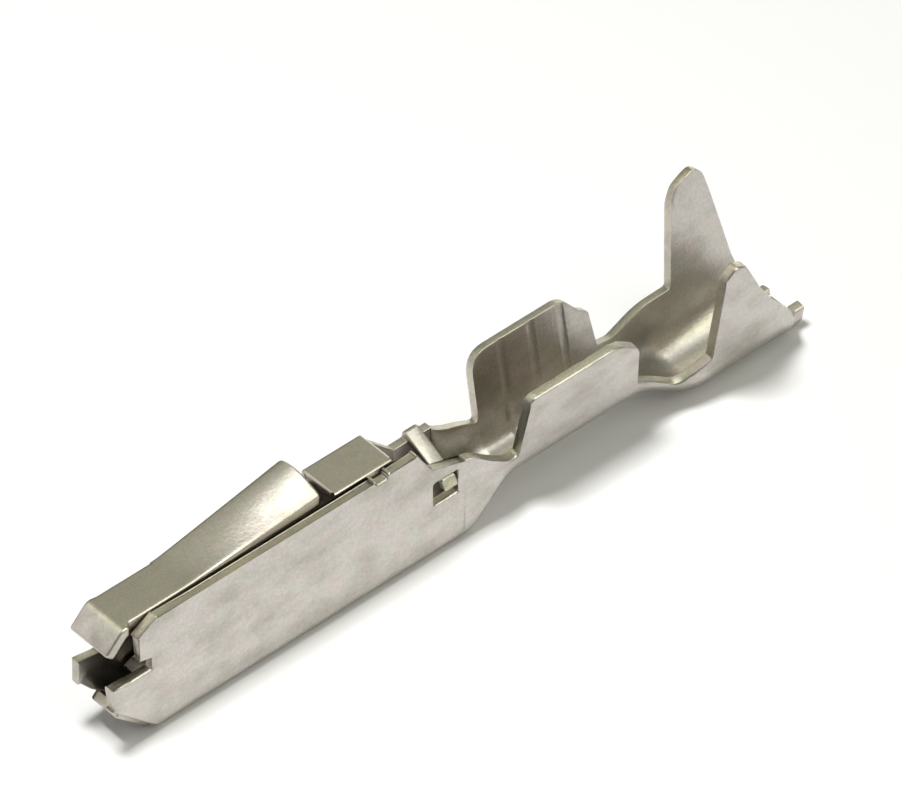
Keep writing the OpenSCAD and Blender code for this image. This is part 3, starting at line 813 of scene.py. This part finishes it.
class TERMINAL_OT_strip(bpy.types.Operator):
    """Neck, wire crimp, insulation crimp and tab, rolled from a flat strip"""

    bl_idname = "terminal.strip"
    bl_label = "Crimp strip"

    def height_at(self, line, x):
        k = min(max(bisect.bisect_left(line, (x, -1.0)), 1), len(line) - 1)
        (x0, z0), (x1, z1) = line[k - 1], line[k]
        return z0 + (z1 - z0) * min(max((x - x0) / (x1 - x0), 0), 1)

    def ring(self, roll, burr, bends=12, legs=8, rounds=3):
        """The values of each point around a section, from the near side to the far side."""
        def face(edge, deep):
            turns = [math.pi / 2 * k / rounds for k in range(rounds + 1)]
            rows = [(k / bends, 0, 0, deep, 0) for k in range(bends + 1)]
            rows += [(1, k / legs, 0, deep, 0) for k in range(1, legs)]
            return rows + [(1, 1, edge * (1 - math.sin(a)), deep,
                            edge * (1 - math.cos(a)) * (1 - 2 * deep)) for a in turns]

        half = face(roll, 0) + face(burr, 1)[::-1]
        return [(-1, *row) for row in half] + [(1, *row) for row in reversed(half)]

    def flat_strip(self, size, crimp):
        lines = {side: filleted(edge, 0.1, 6, closed=False)
                 for side, edge in ((-1, NEAR_EDGE), (1, FAR_EDGE))}
        grid = steps_between(size.box_end - 0.001, crimp.end, 220)
        stations = sorted(grid + [p[0] for line in lines.values() for p in line[1:-1]])
        kept = [stations[0]]
        for x in stations[1:]:
            if x - kept[-1] > 0.002:
                kept.append(x)
        ring = self.ring(size.roll, size.burr)
        around = len(ring)
        values = {name: [] for name in BLANK_VALUES}
        for x in kept:
            for side, bend, leg, pull, deep, sink in ring:
                row = (x * MM, self.height_at(lines[side], x) * MM, side, bend, leg,
                       pull * MM, deep, sink * MM)
                for name, value in zip(BLANK_VALUES, row):
                    values[name].append(value)
        faces = [(i * around + j, i * around + (j + 1) % around,
                  (i + 1) * around + (j + 1) % around, (i + 1) * around + j)
                 for i in range(len(kept) - 1) for j in range(around)]
        last = (len(kept) - 1) * around
        faces.append(tuple(reversed(range(around))))
        faces.append(tuple(last + j for j in range(around)))
        mesh = bpy.data.meshes.new("flat_strip")
        mesh.from_pydata([(x, j * 1e-5, 0) for x in kept for j in range(around)], [], faces)
        for name in BLANK_VALUES:
            mesh.attributes.new(name, "FLOAT", "POINT").data.foreach_set("value", values[name])
        return mesh

    def execute(self, context):
        sheet, crimp = context.scene.terminal_sheet, context.scene.terminal_crimp
        mesh = self.flat_strip(millimetres(sheet), millimetres(crimp))
        blank_strip = bpy.data.objects.new("flat_strip", mesh)
        context.scene.collection.objects.link(blank_strip)
        tree, sockets = strip_tree()
        roll = blank_strip.modifiers.new("roll", "NODES")
        roll.node_group = tree
        values = {
            "Sheet": sheet.sheet, "Box end": sheet.box_end, "Box half width": sheet.half_width,
            "Box fold": sheet.fold, "Wire from": crimp.wire_from, "Wire to": crimp.wire_to,
            "Wire radius": crimp.wire_radius, "Wire lift": crimp.wire_lift,
            "Wire lean": crimp.wire_lean, "Insulation from": crimp.hull_from,
            "Insulation to": crimp.hull_to, "Insulation radius": crimp.hull_radius,
            "Insulation lean": crimp.hull_lean, "Tab half width": crimp.tab_half,
            "Tab run": crimp.tab_run, "Grooves": float(crimp.grooves),
            "Groove depth": crimp.groove_depth, "Groove width": crimp.groove_width,
            "Material": terminal_materials(context)[0]}
        for name, value in values.items():
            roll[sockets[name]] = value
        rolled = bpy.data.meshes.new_from_object(
            blank_strip.evaluated_get(context.evaluated_depsgraph_get()))
        bpy.data.objects.remove(blank_strip)
        bpy.data.meshes.remove(mesh)
        for name in BLANK_VALUES:
            rolled.attributes.remove(rolled.attributes[name])
        rolled.materials.clear()
        solid = bmesh.new()
        solid.from_mesh(rolled)
        around = len(self.ring(0, 0))
        for face in solid.faces[:-2]:
            cut = face.index % around in (around // 4 - 1, around * 3 // 4 - 1)
            face.material_index = 1 if cut else 0
        bmesh.ops.remove_doubles(solid, verts=solid.verts, dist=1e-8)
        bmesh.ops.recalc_face_normals(solid, faces=solid.faces)
        solid.to_mesh(rolled)
        solid.free()
        rolled.name = "crimp_strip"
        finish_piece(context, "crimp_strip", rolled, weighted=False)
        return {"FINISHED"}


# Cards around the terminal: direction, angles within which each is full and gone, and colour.
CARDS = [
    ((0.48, 0.55, 0.68), 10, 28, (0.50, 0.50, 0.37)),
    ((-0.68, 0.55, 0.48), 12, 34, (1.1, 1.08, 1.02)),
    ((0.16, -0.44, 0.89), 13, 27, (3.4, 3.4, 3.2)),
    ((0.48, -0.68, 0.55), 10, 26, (2.6, 2.6, 2.05)),
    ((-0.26, 0.55, 0.79), 7, 18, (1.7, 1.7, 1.3)),
    ((0.83, 0.52, 0.16), 10, 26, (2.0, 2.0, 1.75)),
    ((0.33, 0.88, 0.30), 8, 24, (0.10, 0.105, 0.095)),
]


class TERMINAL_OT_studio(bpy.types.Operator):
    """Floor, lamps, world and camera"""

    bl_idname = "terminal.studio"
    bl_label = "Studio"

    def execute(self, context):
        studio = context.scene.terminal_studio
        self.make_floor(context, studio)
        self.make_lights(context, studio)
        self.make_world(context, studio)
        self.make_camera(context, studio)
        context.scene.view_settings.view_transform = "Standard"
        return {"FINISHED"}

    def make_floor(self, context, studio):
        size = 0.4
        mesh = bpy.data.meshes.new("floor")
        mesh.from_pydata([(-size, -size, 0), (size, -size, 0), (size, size, 0), (-size, size, 0)],
                         [], [(0, 1, 2, 3)])
        floor = bpy.data.objects.new("floor", mesh)
        context.scene.collection.objects.link(floor)
        material = bpy.data.materials.new("floor")
        tree = nodes_of(material)
        out = add(tree, "ShaderNodeOutputMaterial")
        diffuse = add(tree, "ShaderNodeBsdfDiffuse", Color=(*studio.floor, 1))
        glow = add(tree, "ShaderNodeEmission", Color=(1, 1, 1, 1))
        path = add(tree, "ShaderNodeLightPath")
        seen = add(tree, "ShaderNodeMath", operation="MAXIMUM")
        both = add(tree, "ShaderNodeMath", operation="MAXIMUM")
        share = add(tree, "ShaderNodeMath", operation="MULTIPLY")
        share.inputs[1].default_value = studio.floor_glow
        total = add(tree, "ShaderNodeAddShader")
        link = tree.links.new
        link(path.outputs["Is Camera Ray"], seen.inputs[0])
        link(path.outputs["Is Glossy Ray"], seen.inputs[1])
        link(seen.outputs[0], both.inputs[0])
        link(path.outputs["Is Transmission Ray"], both.inputs[1])
        link(both.outputs[0], share.inputs[0])
        link(share.outputs[0], glow.inputs["Strength"])
        link(diffuse.outputs[0], total.inputs[0])
        link(glow.outputs[0], total.inputs[1])
        link(total.outputs[0], out.inputs["Surface"])
        mesh.materials.append(material)

    def make_lights(self, context, studio):
        middle = Vector((CAD_BOX[0][0] + CAD_BOX[1][0], 0, 0)) / 2
        data = bpy.data.lights.new("softbox", "AREA")
        data.shape = "SQUARE"
        data.size = studio.softbox
        data.energy = studio.key
        lamp = bpy.data.objects.new("softbox", data)
        lamp.location = middle + Vector((-0.018, 0.0045, 0.086))
        # The world's cards are what the metal mirrors.
        lamp.visible_glossy = False
        lamp.rotation_euler = (middle - lamp.location).to_track_quat("-Z", "Y").to_euler()
        context.scene.collection.objects.link(lamp)

    def make_world(self, context, studio):
        """A dim surround that brightens upwards, with soft pale cards in it."""
        world = bpy.data.worlds.new("studio")
        context.scene.world = world
        world.use_nodes = True
        tree = world.node_tree
        tree.nodes.clear()
        link = tree.links.new
        out = add(tree, "ShaderNodeOutputWorld")
        back = add(tree, "ShaderNodeBackground", Strength=1.0)
        coord = add(tree, "ShaderNodeTexCoord")
        split = add(tree, "ShaderNodeSeparateXYZ")
        ramp = add(tree, "ShaderNodeValToRGB")
        stops = ramp.color_ramp.elements
        stops[0].position, stops[0].color = 0.0, (0.15, 0.15, 0.13, 1)
        stops[1].position, stops[1].color = 1.0, (0.95, 0.94, 0.84, 1)
        for place, value in ((0.35, 0.19), (0.6, 0.28), (0.8, 0.38), (0.92, 0.6)):
            stops.new(place).color = (value, value * 1.02, value * 0.87, 1)
        link(coord.outputs["Generated"], split.inputs[0])
        link(split.outputs["Z"], ramp.inputs[0])
        colour = ramp.outputs[0]
        for direction, inner, outer, card in CARDS:
            towards = add(tree, "ShaderNodeVectorMath", operation="DOT_PRODUCT")
            towards.inputs[1].default_value = Vector(direction).normalized()
            fade = add(tree, "ShaderNodeMapRange", interpolation_type="SMOOTHSTEP",
                       From_Min=math.cos(math.radians(outer)),
                       From_Max=math.cos(math.radians(inner)))
            mix = add(tree, "ShaderNodeMix", data_type="RGBA")
            link(coord.outputs["Generated"], towards.inputs[0])
            link(towards.outputs["Value"], fade.inputs["Value"])
            link(fade.outputs[0], mix.inputs["Factor"])
            link(colour, mix.inputs[6])
            mix.inputs[7].default_value = (*card, 1)
            colour = mix.outputs[2]
        path = add(tree, "ShaderNodeLightPath")
        dim = add(tree, "ShaderNodeMix", data_type="RGBA", blend_type="MULTIPLY")
        dim.inputs[7].default_value = (studio.fill, studio.fill, studio.fill, 1)
        link(path.outputs["Is Diffuse Ray"], dim.inputs["Factor"])
        link(colour, dim.inputs[6])
        colour = dim.outputs[2]
        white = add(tree, "ShaderNodeMix", data_type="RGBA")
        link(path.outputs["Is Camera Ray"], white.inputs["Factor"])
        link(colour, white.inputs[6])
        white.inputs[7].default_value = (1, 1, 1, 1)
        link(white.outputs[2], back.inputs["Color"])
        link(back.outputs[0], out.inputs["Surface"])

    def make_camera(self, context, studio):
        turn, lift, roll = studio.azimuth, studio.elevation, studio.roll
        back = Vector((math.sin(turn) * math.cos(lift), -math.cos(turn) * math.cos(lift),
                       math.sin(lift)))
        right = Vector((math.cos(turn), math.sin(turn), 0))
        up = back.cross(right)
        right, up = (right * math.cos(roll) + up * math.sin(roll),
                     up * math.cos(roll) - right * math.sin(roll))
        data = bpy.data.cameras.new("camera")
        data.sensor_fit = "HORIZONTAL"
        data.sensor_width = 36
        data.lens = studio.lens
        data.clip_start, data.clip_end = 0.005, 10
        camera = bpy.data.objects.new("camera", data)
        aim = Vector(studio.aim) + right * studio.aim_right + up * studio.aim_up
        matrix = camera.matrix_world.to_3x3()
        matrix.col[0], matrix.col[1], matrix.col[2] = right, up, back
        camera.matrix_world = matrix.to_4x4()
        camera.location = aim + back * studio.distance
        context.scene.collection.objects.link(camera)
        context.scene.camera = camera


class TERMINAL_PT_panel(bpy.types.Panel):
    """Terminal and studio settings"""

    bl_idname = "TERMINAL_PT_panel"
    bl_label = "Crimp Terminal"
    bl_space_type = "VIEW_3D"
    bl_region_type = "UI"
    bl_category = "Terminal"

    def draw(self, context):
        for settings, operators in (
                (context.scene.terminal_sheet, ("terminal.box", "terminal.inside")),
                (context.scene.terminal_crimp, ("terminal.strip",)),
                (context.scene.terminal_finish, ()),
                (context.scene.terminal_studio, ("terminal.studio",))):
            box = self.layout.box()
            for name in settings.__annotations__:
                box.prop(settings, name)
            for name in operators:
                box.operator(name)


CLASSES = (SheetSizes, CrimpSizes, TerminalFinish, StudioSettings, TERMINAL_OT_box,
           TERMINAL_OT_inside, TERMINAL_OT_strip, TERMINAL_OT_studio, TERMINAL_PT_panel)


def register():
    for cls in CLASSES:
        bpy.utils.register_class(cls)
    bpy.types.Scene.terminal_sheet = bpy.props.PointerProperty(type=SheetSizes)
    bpy.types.Scene.terminal_crimp = bpy.props.PointerProperty(type=CrimpSizes)
    bpy.types.Scene.terminal_finish = bpy.props.PointerProperty(type=TerminalFinish)
    bpy.types.Scene.terminal_studio = bpy.props.PointerProperty(type=StudioSettings)


def unregister():
    del bpy.types.Scene.terminal_studio
    del bpy.types.Scene.terminal_finish
    del bpy.types.Scene.terminal_crimp
    del bpy.types.Scene.terminal_sheet
    for cls in reversed(CLASSES):
        bpy.utils.unregister_class(cls)


def main():
    register()
    bpy.ops.terminal.box()
    bpy.ops.terminal.inside()
    bpy.ops.terminal.strip()
    bpy.ops.terminal.studio()


if __name__ == "__main__":
    main()
